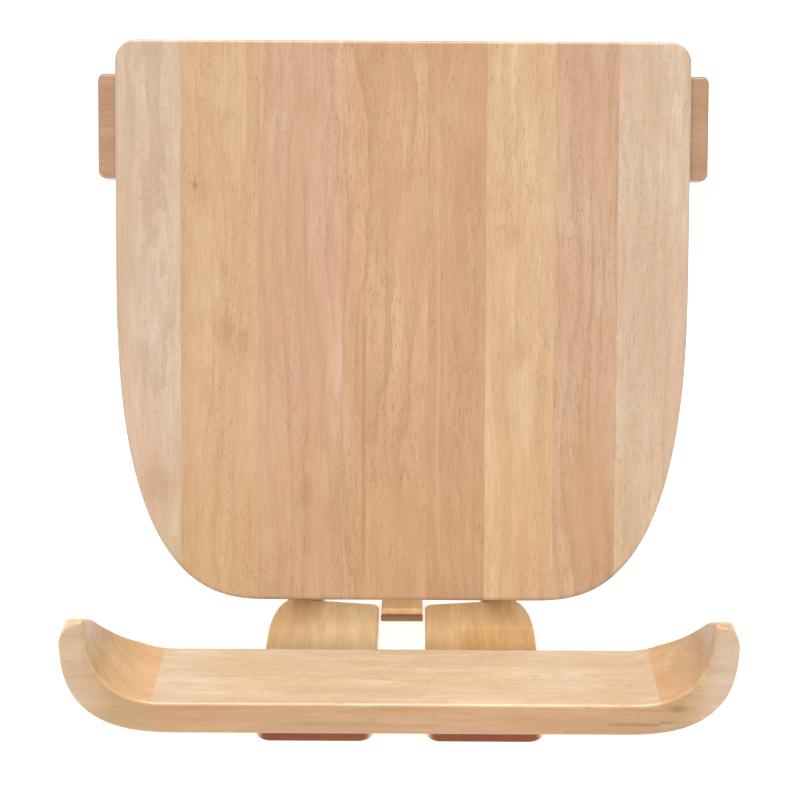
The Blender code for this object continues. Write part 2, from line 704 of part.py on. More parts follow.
def main():
    clear_scene()
    plank = make_ledge()
    make_rail()
    make_tongue()
    make_stretcher()
    bored = []
    for name, side in (("left", -1), ("right", 1)):
        foot = make_foot("foot_" + name, side)
        runner = make_runner("runner_" + name, side)
        cheek = make_cheek("hinge_cheek_" + name, side)
        for number, share in enumerate(FOOT_SCREW_SHARES, 1):
            x = side * (FOOT_INNER + share * FOOT_WIDTH)
            at = (x, FOOT_FRONT + FOOT_SCREW_BEHIND_FRONT, SLAB_LOW)
            fixing(f"foot_screw_{name}_{number}", at, (0, 0, -1), (foot, plank))
        for number, behind in enumerate(CHEEK_SCREWS_BEHIND_NOSE, 1):
            x = side * (RUNNER_INNER + CHEEK_THICKNESS / 2)
            at = (x, PIVOT.y + CHEEK_FRONT_BEHIND_AXIS + behind, SLAB_LOW)
            fixing(f"cheek_screw_{name}_{number}", at, (0, 0, -1), (runner, cheek))
        bored += [cheek, make_washer("washer_" + name, side), make_knob("knob_" + name, side)]
    frame = bpy.data.objects.new("board_frame", None)
    bpy.data.collections["bible_stand"].objects.link(frame)
    frame.location = PIVOT
    frame.rotation_euler = (-BOARD_LEAN, 0, 0)
    staves = make_board(frame)
    bored.append(make_board_back(frame, staves))
    make_rod(bored)
    make_pads()


main()
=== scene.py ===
"""A bible stand in lacquered rubberwood: its board of eight staves on a clamped tilt hinge, the
ledge with upturned ends that carries the book, and the frame that both stand on."""

import json
import math

import bmesh
import bpy
from bpy.props import FloatProperty, FloatVectorProperty, PointerProperty
from mathutils import Matrix, Vector


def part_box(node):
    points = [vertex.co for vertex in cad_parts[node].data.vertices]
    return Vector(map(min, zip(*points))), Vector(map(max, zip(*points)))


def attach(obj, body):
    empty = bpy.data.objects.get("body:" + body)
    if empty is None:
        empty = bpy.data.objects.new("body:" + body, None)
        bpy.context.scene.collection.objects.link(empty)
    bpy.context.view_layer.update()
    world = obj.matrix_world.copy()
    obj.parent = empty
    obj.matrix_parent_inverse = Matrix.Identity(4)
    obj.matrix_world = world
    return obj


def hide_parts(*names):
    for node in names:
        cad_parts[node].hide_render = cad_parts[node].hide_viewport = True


bl_info = {
    "name": "Bible Stand",
    "version": (1, 0, 0),
    "blender": (4, 5, 0),
    "location": "3D View > Sidebar > Bible Stand",
    "description": "Builds a wooden bible stand with a tilting board",
    "category": "Add Mesh",
}

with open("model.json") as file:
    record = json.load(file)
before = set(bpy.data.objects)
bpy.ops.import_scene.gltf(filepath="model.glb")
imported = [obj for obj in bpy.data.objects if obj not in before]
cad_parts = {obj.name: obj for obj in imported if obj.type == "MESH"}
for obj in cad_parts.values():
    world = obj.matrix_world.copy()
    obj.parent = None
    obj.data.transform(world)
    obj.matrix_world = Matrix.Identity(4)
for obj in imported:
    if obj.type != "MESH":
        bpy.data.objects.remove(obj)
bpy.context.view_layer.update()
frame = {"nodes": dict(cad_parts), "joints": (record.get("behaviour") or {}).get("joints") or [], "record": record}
JOINTS = {joint["name"]: joint for joint in frame["joints"]}
RECORD = frame["record"]

# ------------------------------------------------------------------ places taken from the frame


def corners(*nodes):
    """The lowest and highest corners of several nodes together."""
    boxes = [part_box(node) for node in nodes]
    low = [min(box[0][axis] for box in boxes) for axis in range(3)]
    high = [max(box[1][axis] for box in boxes) for axis in range(3)]
    return Vector(low), Vector(high)


PIVOT = Vector(JOINTS["board_tilt"]["pos_m"])
MOUNTS = {mount["name"]: mount for mount in RECORD["mounts"]}
FACE = MOUNTS["board_face"]
LEAN = math.atan2(FACE["axis"][2], -FACE["axis"][1])
TILT = Matrix.Translation(PIVOT) @ Matrix.Rotation(-LEAN, 4, "X")
STAND_UP = Matrix.Rotation(math.radians(90), 4, "X")
TO_SIDE = Matrix(((0, 0, 1, 0), (1, 0, 0, 0), (0, 1, 0, 0), (0, 0, 0, 1)))
MM = 0.001
GRAIN_ALONG_X = (0, math.radians(-90), 0)
GRAIN_ALONG_Y = (math.radians(90), 0, 0)
GRAIN_UP_BOARD = (LEAN, 0, 0)
GRAIN_ACROSS_BOARD = tuple(
    (Matrix.Rotation(math.radians(-90), 4, "Y") @ Matrix.Rotation(LEAN, 4, "X")).to_euler()
)

# The board in its own frame: x across, y back and z up the board, from the hinge axis
BOARD_FACE = (TILT.inverted() @ Vector(FACE["pos_m"])).y
BOARD_THICKNESS = 18 * MM
BOARD_BACK = BOARD_FACE + BOARD_THICKNESS
BOARD_LOW = -25 * MM
BOARD_HIGH = BOARD_LOW + 341.2 * MM
BOARD_HALF = corners("board_stave_1", "board_stave_8")[1].x
BAR_LOW, BAR_HIGH = BOARD_HIGH - 82.4 * MM, BOARD_HIGH - 18 * MM
BAR_THICKNESS = 22 * MM
BATTEN_LOW, BATTEN_HIGH = -20 * MM, 25 * MM
BATTEN_BACK = 12 * MM
STAVES = [corners(f"board_stave_{number}") for number in range(1, 9)]
SEAMS = [(STAVES[i][1].x + STAVES[i + 1][0].x) / 2 for i in range(7)]
GAP = 0.3 * MM
TOWARDS_READER = (0, -1, 0)

# ------------------------------------------------------------------ what a user would change


class StandSizes(bpy.types.PropertyGroup):
    """Sizes of the details that the joints and the overall box don't fix."""

    round_over: FloatProperty(
        name="Round-over",
        description="Radius along the edges of the board and the ledge",
        default=3 * MM,
        min=0.5 * MM,
        max=6 * MM,
        subtype="DISTANCE",
        unit="LENGTH",
    )
    shoulder_width: FloatProperty(
        name="Shoulder width",
        description="How far in from the side the board's lower corners begin",
        default=94 * MM,
        min=40 * MM,
        max=140 * MM,
        subtype="DISTANCE",
        unit="LENGTH",
    )
    shoulder_height: FloatProperty(
        name="Shoulder height",
        description="How far up the side the board's lower corners reach",
        default=210 * MM,
        min=60 * MM,
        max=260 * MM,
        subtype="DISTANCE",
        unit="LENGTH",
    )
    knob_flutes: FloatProperty(
        name="Knob flutes",
        description="Depth of the flutes round the knobs",
        default=1.3 * MM,
        min=0.2 * MM,
        max=1.4 * MM,
        subtype="DISTANCE",
        unit="LENGTH",
    )


class StandFinish(bpy.types.PropertyGroup):
    """Colours and sheen."""

    frame_wood: FloatVectorProperty(
        name="Frame wood",
        description="Colour of the pieces behind and under the board",
        default=(0.46, 0.28, 0.145),
        min=0,
        max=1,
        subtype="COLOR",
    )
    knob_plastic: FloatVectorProperty(
        name="Knob plastic",
        description="Colour of the two clamping knobs",
        default=(0.022, 0.021, 0.020),
        min=0,
        max=1,
        subtype="COLOR",
    )
    lacquer_roughness: FloatProperty(
        name="Lacquer roughness",
        description="Lower is glossier",
        default=0.34,
        min=0.05,
        max=1,
        subtype="FACTOR",
    )
    floor: FloatVectorProperty(
        name="Floor",
        description="Colour of the plain floor",
        default=(0.6, 0.6, 0.6),
        min=0,
        max=1,
        subtype="COLOR",
    )


def sizes():
    return bpy.context.scene.stand_sizes


def finish():
    return bpy.context.scene.stand_finish


# ------------------------------------------------------------------ outlines


def superellipse(middle, across, down, power, steps):
    """A quarter of a superellipse, from below its middle round to beside it."""
    for step in range(steps + 1):
        angle = math.pi / 2 * step / steps
        x = middle[0] + across * math.sin(angle) ** (2 / power)
        yield x, middle[1] - down * math.cos(angle) ** (2 / power)


def arc(middle, radius, start, end, steps):
    for step in range(steps + 1):
        angle = math.radians(start + (end - start) * step / steps)
        yield middle[0] + radius * math.cos(angle), middle[1] + radius * math.sin(angle)


def rounded(points, steps=8):
    """An outline through corners of (x, y, radius), each turned with its radius."""
    outline = []
    for i, (x, y, radius) in enumerate(points):
        here = Vector((x, y))
        before = (Vector(points[i - 1][:2]) - here).normalized()
        after = (Vector(points[(i + 1) % len(points)][:2]) - here).normalized()
        half = before.angle(after) / 2
        middle = here + (before + after).normalized() * radius / math.sin(half)
        start = here + before * radius / math.tan(half) - middle
        end = here + after * radius / math.tan(half) - middle
        sweep = start.angle_signed(end)
        for step in range(steps + 1):
            turn = Matrix.Rotation(-sweep * step / steps, 2)
            outline.append(tuple(middle + turn @ start))
    return outline


def both_sides(right):
    """A right-hand half outline closed by its mirror image."""
    return right + [(-x, y) for x, y in reversed(right)]


def evened(outline, spacing):
    """The outline with points added so that none are further apart than spacing."""
    points = []
    for i, start in enumerate(outline):
        end = outline[(i + 1) % len(outline)]
        gap = math.dist(start, end)
        if gap < 1e-6:
            continue
        count = max(1, math.ceil(gap / spacing))
        for step in range(count):
            share = step / count
            points.append(tuple(a + (b - a) * share for a, b in zip(start, end)))
    return points


# ------------------------------------------------------------------ solids


def plate(outline, low, high, edge, turn=None, edge_steps=5):
    """A flat plate: an outline in X and Y from low to high, its edges rounded over by edge."""
    curve = bpy.data.curves.new("plate", "CURVE")
    curve.dimensions = "2D"
    curve.fill_mode = "BOTH"
    curve.extrude = (high - low) / 2 - edge
    curve.bevel_depth = edge
    curve.bevel_resolution = edge_steps
    curve.offset = -edge
    spline = curve.splines.new("POLY")
    spline.points.add(len(outline) - 1)
    for point, (x, y) in zip(spline.points, outline):
        point.co = (x, y, 0, 1)
    spline.use_cyclic_u = True
    maker = bpy.data.objects.new("plate", curve)
    bpy.context.scene.collection.objects.link(maker)
    graph = bpy.context.evaluated_depsgraph_get()
    mesh = bpy.data.meshes.new_from_object(maker.evaluated_get(graph))
    bpy.data.objects.remove(maker)
    bpy.data.curves.remove(curve)
    shape = bmesh.new()
    shape.from_mesh(mesh)
    bpy.data.meshes.remove(mesh)
    bmesh.ops.remove_doubles(shape, verts=shape.verts, dist=1e-6)
    placed = (turn or Matrix()) @ Matrix.Translation((0, 0, (low + high) / 2))
    bmesh.ops.transform(shape, matrix=placed, verts=shape.verts)
    bmesh.ops.recalc_face_normals(shape, faces=shape.faces)
    return shape


def block(low, high, edge, steps=4):
    """A block between two corners with its edges rounded over."""
    low, high = Vector(map(min, low, high)), Vector(map(max, low, high))
    shape = bmesh.new()
    placed = Matrix.Translation((low + high) / 2) @ Matrix.Diagonal((*(high - low), 1))
    bmesh.ops.create_cube(shape, size=1, matrix=placed)
    bmesh.ops.bevel(
        shape,
        geom=shape.edges[:],
        offset=edge,
        offset_type="OFFSET",
        segments=steps,
        profile=0.5,
        affect="EDGES",
        clamp_overlap=True,
    )
    return shape


def skin(shape, rings):
    """Faces between rings of vertices; a ring may be a single vertex on the axis."""
    steps = max(len(ring) for ring in rings)
    for near, far in zip(rings, rings[1:]):
        for step in range(steps):
            after = (step + 1) % steps
            loop = [near[step % len(near)], near[after % len(near)]]
            loop += [far[after % len(far)], far[step % len(far)]]
            unique = list(dict.fromkeys(loop))
            if len(unique) > 2:
                shape.faces.new(unique)


def turned(profile, steps=32):
    """A solid turned round z from (height, radius) pairs in millimetres."""
    shape = bmesh.new()
    rings = []
    for height, radius in profile:
        ring = []
        for step in range(steps if radius else 1):
            angle = 2 * math.pi * step / steps
            x, y = radius * math.cos(angle), radius * math.sin(angle)
            ring.append(shape.verts.new((x * MM, y * MM, height * MM)))
        rings.append(ring)
    skin(shape, rings)
    bmesh.ops.recalc_face_normals(shape, faces=shape.faces)
    return shape


def sawn(shape, at, outward):
    """Cuts away what lies beyond a plane and closes the cut."""
    result = bmesh.ops.bisect_plane(
        shape,
        geom=shape.verts[:] + shape.edges[:] + shape.faces[:],
        plane_co=at,
        plane_no=outward,
        clear_outer=True,
        dist=1e-7,
    )
    cut = [item for item in result["geom_cut"] if isinstance(item, bmesh.types.BMEdge)]
    open_edges = [edge for edge in cut if edge.is_boundary]
    bmesh.ops.holes_fill(shape, edges=open_edges, sides=0)
    return shape


def placed_at(shape, matrix):
    bmesh.ops.transform(shape, matrix=matrix, verts=shape.verts)
    return shape


def make_piece(name, shape, body, material, replaced, slot, smooth=40):
    """A finished piece: its object rides on a body and stands for the nodes it replaces."""
    mesh = bpy.data.meshes.new(name)
    bmesh.ops.recalc_face_normals(shape, faces=shape.faces)
    for face in shape.faces:
        face.smooth = True
    shape.to_mesh(mesh)
    shape.free()
    mesh.set_sharp_from_angle(angle=math.radians(smooth))
    mesh.materials.append(material)
    obj = bpy.data.objects.new(name, mesh)
    bpy.context.scene.collection.objects.link(obj)
    normals = obj.modifiers.new("normals", "WEIGHTED_NORMAL")
    normals.keep_sharp = True
    normals.weight = 90
    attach(obj, body)
    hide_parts(*replaced)
    return obj


# ------------------------------------------------------------------ materials


class Tree:
    """Short names for the nodes that a material is made of."""

    def __init__(self, name):
        self.material = bpy.data.materials.new(name)
        self.material.use_nodes = True
        self.tree = self.material.node_tree
        self.shader = self.tree.nodes["Principled BSDF"]

    def link(self, value, socket):
        if isinstance(value, bpy.types.NodeSocket):
            self.tree.links.new(value, socket)
        elif value is not None:
            socket.default_value = value

    def math(self, operation, first, second=None, third=None):
        node = self.tree.nodes.new("ShaderNodeMath")
        node.operation = operation
        for value, socket in zip((first, second, third), node.inputs):
            self.link(value, socket)
        return node.outputs[0]

    def range(self, value, from_low, from_high, to_low=0.0, to_high=1.0):
        node = self.tree.nodes.new("ShaderNodeMapRange")
        node.interpolation_type = "SMOOTHSTEP"
        for given, name in (
            (value, "Value"),
            (from_low, "From Min"),
            (from_high, "From Max"),
            (to_low, "To Min"),
            (to_high, "To Max"),
        ):
            self.link(given, node.inputs[name])
        return node.outputs["Result"]

    def mix(self, share, first, second, blend="MIX"):
        node = self.tree.nodes.new("ShaderNodeMix")
        node.data_type = "RGBA"
        node.blend_type = blend
        self.link(share, node.inputs["Factor"])
        for value, name in ((first, "A"), (second, "B")):
            socket = next(s for s in node.inputs if s.name == name and s.type == "RGBA")
            self.link(value if isinstance(value, bpy.types.NodeSocket) else (*value, 1), socket)
        return next(s for s in node.outputs if s.type == "RGBA")

    def place(self, scale=(1, 1, 1), shift=(0, 0, 0), turn=(0, 0, 0), vector=None):
        if vector is None:
            vector = self.tree.nodes.new("ShaderNodeTexCoord").outputs["Object"]
        node = self.tree.nodes.new("ShaderNodeMapping")
        node.inputs["Scale"].default_value = scale
        node.inputs["Location"].default_value = shift
        node.inputs["Rotation"].default_value = turn
        self.tree.links.new(vector, node.inputs["Vector"])
        return node.outputs[0]

    def noise(self, vector, detail=2.0, roughness=0.5):
        node = self.tree.nodes.new("ShaderNodeTexNoise")
        self.tree.links.new(vector, node.inputs["Vector"])
        node.inputs["Scale"].default_value = 1.0
        node.inputs["Detail"].default_value = detail
        node.inputs["Roughness"].default_value = roughness
        return node.outputs[0]

    def parts(self, vector):
        node = self.tree.nodes.new("ShaderNodeSeparateXYZ")
        self.tree.links.new(vector, node.inputs[0])
        return node.outputs

    def join(self, x, y, z):
        node = self.tree.nodes.new("ShaderNodeCombineXYZ")
        for value, socket in zip((x, y, z), node.inputs):
            self.link(value, socket)
        return node.outputs[0]

    def bump(self, height, strength, distance):
        node = self.tree.nodes.new("ShaderNodeBump")
        node.inputs["Strength"].default_value = strength
        node.inputs["Distance"].default_value = distance
        self.tree.links.new(height, node.inputs["Height"])
        self.tree.links.new(node.outputs[0], self.shader.inputs["Normal"])

    def product(self, first, *others):
        for other in others:
            first = self.math("MULTIPLY", first, other)
        return first

    def square_sum(self, first, second):
        return self.math("ADD", self.product(first, first), self.product(second, second))

    def far_from(self, x, z, to_x, to_z, squash):
        """How far a point of the face lies from another, with distances along the grain squashed."""
        along = self.math("MULTIPLY", self.math("SUBTRACT", z, to_z), squash)
        return self.math("SQRT", self.square_sum(self.math("SUBTRACT", x, to_x), along))

    def painted_light_facing(self, direction):
        """1 where the surface faces a direction, 0 where it is turned away from it."""
        normal = self.tree.nodes.new("ShaderNodeTexCoord").outputs["Normal"]
        node = self.tree.nodes.new("ShaderNodeVectorMath")
        node.operation = "DOT_PRODUCT"
        self.tree.links.new(normal, node.inputs[0])
        node.inputs[1].default_value = direction
        return self.range(node.outputs["Value"], 0.35, 0.95)

    def tinted(self, share, colour, tint):
        return self.mix(share, colour, self.mix(1.0, colour, tint, "MULTIPLY"))


def shaded(colour, factor):
    return tuple(channel * factor for channel in colour)


def scaled(colour, gains):
    return tuple(channel * gain for channel, gain in zip(colour, gains))


def bent_round_knots(tree, x, z, knots):
    """x, pushed aside near each knot so that the grain flows round it."""
    bent = x
    for knot_x, knot_z, radius, strength in knots:
        off_x = tree.math("SUBTRACT", x, knot_x)
        off_z = tree.math("MULTIPLY", tree.math("SUBTRACT", z, knot_z), 0.45)
        reach = tree.math("ADD", tree.square_sum(off_x, off_z), radius * radius)
        push = tree.math("DIVIDE", radius * radius, reach)
        bent = tree.math("MULTIPLY_ADD", tree.product(push, off_x), -0.7 * strength, bent)
    return bent


def with_knots(tree, look, colour, x, z, cloud, knots):
    brown = scaled(colour, (0.62, 0.46, 0.34))
    for knot_x, knot_z, radius, strength in knots:
        far = tree.far_from(x, z, knot_x, knot_z, 0.55)
        far = tree.math("MULTIPLY_ADD", tree.math("SUBTRACT", cloud, 0.5), radius * 1.6, far)
        stain = tree.range(far, radius * 1.5, radius * 0.1)
        look = tree.mix(tree.product(stain, 0.75 * strength), look, brown)
    return look


def with_lines(tree, look, deep, pale, bent, z, lines):
    for line_x, line_z, reach, strength in lines:
        side = tree.math("ABSOLUTE", tree.math("SUBTRACT", bent, line_x))
        ends = tree.math("ABSOLUTE", tree.math("SUBTRACT", z, line_z))
        mark = tree.product(
            tree.range(side, 1.6 * MM, 0.2 * MM), tree.range(ends, reach, reach * 0.5)
        )
        tone = shaded(deep, 0.7) if strength > 0 else pale
        look = tree.mix(tree.product(mark, abs(strength)), look, tone)
    return look


def with_tints(tree, look, bent, z, painted_light_facing, tone_and_painted_light_fades, blocks):
    # Painted highlight and painted shade on what faces a direction, then fades that carry tone and painted light,
    # then the glued-up blocks
    for direction, tint in painted_light_facing:
        look = tree.tinted(tree.painted_light_facing(direction), look, tint)
    for start, end, tint, *direction in tone_and_painted_light_fades:
        share = tree.range(tree.math("ABSOLUTE", z), start, end)
        if direction:
            share = tree.product(share, tree.painted_light_facing(direction[0]))
        look = tree.tinted(share, look, tint)
    soft = 0.6 * MM
    for left, right, low, high, tint in blocks:
        share = tree.product(
            tree.range(bent, left, left + soft),
            tree.range(bent, right, right - soft),
            tree.range(z, low, low + soft),
            tree.range(z, high, high - soft),
        )
        look = tree.tinted(share, look, tint)
    return look


def wood(
    name,
    colour,
    seed,
    turn=(0, 0, 0),
    origin=(0, 0, 0),
    rings=0.5,
    heart=(0.02, 0.05, 0.02),
    knots=(),
    lines=(),
    warmth=0.5,
    pores=1.0,
    painted_light_facing=(),
    tone_and_painted_light_fades=(),
    blocks=(),
):
    """Lacquered rubberwood, its grain along z once turned.

    heart is where the middle of the log lies, across and behind the face, and how fast it leans away. knots are
    (x, z, radius, strength) and lines are (x, z, half length, strength) on the face. The tints by facing colour
    what faces a direction, as a painted highlight or painted shade. The fades tint it from one distance along the
    grain to another, and only what faces a direction if one is given; they carry a change of tone as well as
    painted light and shade. blocks are the pieces it is glued up with, (from x, to x, from z, to z, tint)."""
    tree = Tree(name)
    local = tree.place(shift=tuple(-value for value in origin))
    grain = tree.place(turn=turn, vector=local)
    x, y, z = tree.parts(grain)

    def noise(scale, shift, detail, roughness=0.5, vector=grain):
        return tree.noise(tree.place(scale, shift, vector=vector), detail, roughness)

    swirl = noise((11, 11, 4), (seed * 1.7, seed * 0.9, seed * 2.3), 3)
    swayed = tree.math("MULTIPLY_ADD", tree.math("SUBTRACT", swirl, 0.5), 0.016, x)
    pushed = tree.math("SUBTRACT", bent_round_knots(tree, x, z, knots), x)
    bent = tree.math("ADD", swayed, pushed)
    flowing = tree.join(bent, y, z)

    # Growth rings round the heart
    across = tree.math("SUBTRACT", bent, heart[0])
    depth = tree.math("ADD", tree.math("MULTIPLY_ADD", z, heart[2], heart[1]), y)
    radial = tree.math("SQRT", tree.square_sum(across, depth))
    wander = noise((30, 30, 8), (seed, seed * 3.1, seed), 5)
    phase = tree.math("MULTIPLY_ADD", wander, 3.4, tree.math("MULTIPLY", radial, 105))
    band = tree.math("FRACT", phase)
    band = tree.product(tree.range(band, 0.45, 0.95), tree.range(band, 1.0, 0.95))

    # Fibres, broad streaks, clouds, and the short dark dashes of the pores
    fine = noise((560, 560, 42), (seed * 5.3, 0, seed), 6, 0.7, flowing)
    wide = noise((70, 70, 9), (seed * 2.9, 1, seed), 5, 0.62, flowing)
    patch = noise((30, 30, 12), (seed * 4.1, 2, seed), 4)
    cloud = noise((110, 110, 45), (seed * 1.3, 5, seed), 4)
    dash = noise((1500, 1500, 240), (seed, seed * 7, seed), 2, 0.6, flowing)
    thin = noise((48, 48, 9), (seed * 6.1, 3, seed), 2)
    pore = tree.product(tree.range(dash, 0.54, 0.70), tree.range(thin, 0.36, 0.62, 0.3, 1.0))
    ring = tree.product(band, tree.range(thin, 0.3, 0.6, 0.25, 1.0))

    pale = scaled(colour, (1.08, 1.14, 1.22))
    deep = scaled(colour, (0.90, 0.84, 0.77))
    pink = scaled(colour, (0.99, 0.88, 0.90))
    dark = shaded(deep, 0.82)
    look = tree.mix(tree.range(wide, 0.28, 0.72), deep, pale)
    look = tree.mix(tree.product(tree.range(patch, 0.36, 0.64), warmth), look, pink)
    look = tree.mix(tree.product(tree.range(cloud, 0.45, 0.7), 0.45), look, deep)
    look = tree.mix(tree.product(tree.range(fine, 0.42, 0.72), 0.5), look, dark)
    look = tree.mix(tree.product(ring, 0.55 * rings), look, dark)
    look = tree.mix(tree.product(pore, 0.6 * pores), look, shaded(deep, 0.58))
    look = with_knots(tree, look, colour, x, z, cloud, knots)
    look = with_lines(tree, look, deep, pale, bent, z, lines)
    look = with_tints(tree, look, bent, z, painted_light_facing, tone_and_painted_light_fades, blocks)
    tree.link(look, tree.shader.inputs["Base Color"])
    rough = finish().lacquer_roughness
    tree.link(tree.range(fine, 0.3, 0.7, rough, rough + 0.1), tree.shader.inputs["Roughness"])
    tree.shader.inputs["IOR"].default_value = 1.46
    tree.shader.inputs["Coat Weight"].default_value = 0.15
    tree.shader.inputs["Coat Roughness"].default_value = 0.2
    height = tree.math("MULTIPLY_ADD", pore, -1.0, tree.math("MULTIPLY", fine, 0.35))
    tree.bump(height, 0.2, 0.1 * MM)
    tree.material.diffuse_color = (*colour, 1)
    return tree.material


def steel(name):
    tree = Tree(name)
    base = tree.place((900, 900, 900))
    grit = tree.noise(base, detail=4)
    look = tree.mix(grit, (0.50, 0.49, 0.47), (0.66, 0.65, 0.63))
    tree.link(look, tree.shader.inputs["Base Color"])
    tree.shader.inputs["Metallic"].default_value = 1.0
    tree.link(tree.range(grit, 0.3, 0.7, 0.24, 0.42), tree.shader.inputs["Roughness"])
    tree.bump(grit, 0.15, 0.05 * MM)
    return tree.material


def plastic(name, colour, roughness, grain_size):
    tree = Tree(name)
    grit = tree.noise(tree.place((grain_size,) * 3), detail=3)
    look = tree.mix(grit, shaded(colour, 0.8), shaded(colour, 1.3))
    tree.link(look, tree.shader.inputs["Base Color"])
    rough = tree.range(grit, 0.3, 0.7, roughness - 0.06, roughness + 0.08)
    tree.link(rough, tree.shader.inputs["Roughness"])
    tree.bump(grit, 0.3, 0.08 * MM)
    return tree.material


# ------------------------------------------------------------------ pieces

# Each stave's colour, where the middle of its log lay, and the knots and lines on its face
STAVE_LOOKS = (
    dict(
        colour=(0.392, 0.295, 0.211),
        heart=(0.004, 0.012, 0.05),
        rings=0.9,
        warmth=0.8,
        knots=((6 * MM, 48 * MM, 9 * MM, 0.5), (-4 * MM, 170 * MM, 12 * MM, 0.2)),
    ),
    dict(
        colour=(0.373, 0.243, 0.137),
        heart=(0.09, 0.03, 0.01),
        rings=0.5,
        warmth=0.4,
        knots=(
            (-15.2 * MM, 228 * MM, 1.7 * MM, 1.2),
            (-12 * MM, 222 * MM, 9 * MM, 0.25),
            (2 * MM, 141 * MM, 6 * MM, 0.5),
            (15 * MM, 132 * MM, 5 * MM, 0.4),
        ),
    ),
    dict(
        colour=(0.367, 0.235, 0.145),
        heart=(0.02, 0.03, 0.03),
        rings=0.9,
        warmth=0.8,
        knots=((1.4 * MM, 40 * MM, 5.5 * MM, 0.4),),
        lines=((-6 * MM, 220 * MM, 60 * MM, 0.35), (4 * MM, 190 * MM, 70 * MM, 0.3)),
    ),
    dict(
        colour=(0.375, 0.232, 0.131),
        heart=(-0.004, 0.010, 0.035),
        rings=1.1,
        warmth=0.4,
        lines=((-13.3 * MM, 74 * MM, 110 * MM, 0.6), (-1 * MM, 150 * MM, 80 * MM, 0.3)),
    ),
    dict(
        colour=(0.350, 0.211, 0.117),
        heart=(0.10, 0.03, 0.01),
        rings=0.5,
        warmth=0.5,
        lines=((-10 * MM, 130 * MM, 170 * MM, -0.5),),
    ),
    dict(
        colour=(0.405, 0.274, 0.157),
        heart=(0.05, 0.02, 0.02),
        rings=0.6,
        warmth=0.3,
        knots=((-3.4 * MM, 199 * MM, 5 * MM, 0.35), (0, 129 * MM, 6 * MM, 0.4)),
    ),
    dict(
        colour=(0.360, 0.234, 0.143),
        heart=(0.08, 0.03, 0.02),
        rings=0.8,
        warmth=0.8,
        lines=((3 * MM, 120 * MM, 100 * MM, 0.3),),
    ),
    dict(colour=(0.395, 0.290, 0.203), heart=(-0.08, 0.04, 0.02), rings=0.6, warmth=0.7),
)
BOARD_CORNER = 13 * MM
SHOULDER_POWER = 2.7
# The face warms towards its foot, and a painted highlight pales what faces up the board along the top edge
TOWARDS_FOOT = ((0.12, 0.0, (1.0, 0.97, 0.89)),)
PAINTED_TOP_EDGE_HIGHLIGHT = (((0, math.sin(LEAN), math.cos(LEAN)), (1.4, 1.5, 1.7)),)


def board_outline():
    """The board seen from the front: small upper corners, long rounded shoulders below."""
    width, height = sizes().shoulder_width, sizes().shoulder_height
    middle = (BOARD_HALF - width, BOARD_LOW + height)
    shoulder = superellipse(middle, width, height, SHOULDER_POWER, 72)
    middle = (BOARD_HALF - BOARD_CORNER, BOARD_HIGH - BOARD_CORNER)
    return both_sides([*shoulder, *arc(middle, BOARD_CORNER, 0, 90, 16)])


class STAND_OT_board(bpy.types.Operator):
    """Glue up the board from its eight staves"""

    bl_idname = "stand.board"
    bl_label = "Build board"

    def execute(self, context):
        joint = 0.02 * MM
        near, far = -BOARD_BACK, -BOARD_FACE
        outline = evened(board_outline(), 8 * MM)
        edges = [-1, *SEAMS, 1]
        for number, look in enumerate(STAVE_LOOKS, 1):
            shape = plate(outline, near, far, sizes().round_over, STAND_UP)
            if number > 1:
                sawn(shape, (edges[number - 1] + joint, 0, 0), (-1, 0, 0))
            if number < 8:
                sawn(shape, (edges[number] - joint, 0, 0), (1, 0, 0))
            placed_at(shape, TILT)
            middle = (STAVES[number - 1][0].x + STAVES[number - 1][1].x) / 2
            origin = PIVOT + Vector((middle, 0, 0))
            name = f"stave_{number}"
            grain = wood(
                name,
                seed=number * 3.7,
                turn=GRAIN_UP_BOARD,
                origin=origin,
                tone_and_painted_light_fades=TOWARDS_FOOT,
                painted_light_facing=PAINTED_TOP_EDGE_HIGHLIGHT,
                **look,
            )
            make_piece(name, shape, "board", grain, ["board_" + name], name)
        return {"FINISHED"}


# Painted shade: the bar is darkened where it lies behind the board, so its two ends that show past the board stay
# paler
BAR_PAINTED_SHADE = ((179 * MM, 175.5 * MM, (0.75, 0.62, 0.50)),)


class STAND_OT_bar(bpy.types.Operator):
    """Fit the cross bar across the back of the board"""

    bl_idname = "stand.bar"
    bl_label = "Build cross bar"

    def execute(self, context):
        half = corners("cross_bar")[1].x
        far = -BOARD_BACK - 0.1 * MM
        places = ((-half, BAR_LOW), (half, BAR_LOW), (half, BAR_HIGH), (-half, BAR_HIGH))
        outline = rounded([(x, y, 4.5 * MM) for x, y in places])
        shape = placed_at(plate(outline, far - BAR_THICKNESS, far, 3 * MM, STAND_UP), TILT)
        look = wood(
            "cross_bar",
            (0.310, 0.188, 0.110),
            41,
            turn=GRAIN_ACROSS_BOARD,
            origin=PIVOT,
            tone_and_painted_light_fades=BAR_PAINTED_SHADE,
        )
        make_piece("bar", shape, "board", look, ["cross_bar"], "bar")
        return {"FINISHED"}


# The ledge's upturned ends: the outer corner of the tip across and down, the two curves that
# sweep up to it, and how thin the tip is from front to back
TIP_CORNER = (14.5 * MM, 16.8 * MM)
TIP_EDGE, TIP_DROP = 1.4 * MM, 5.3 * MM
OUTER_SWEEP, OUTER_POWER = 66.3 * MM, 2.72
INNER_SWEEP, INNER_POWER = 43.6 * MM, 2.38
BEND_BELOW_TIP = 9.4 * MM
TIP_DEPTH = 6.2 * MM
SLOPE_POWERS = (1.14, 1.47)


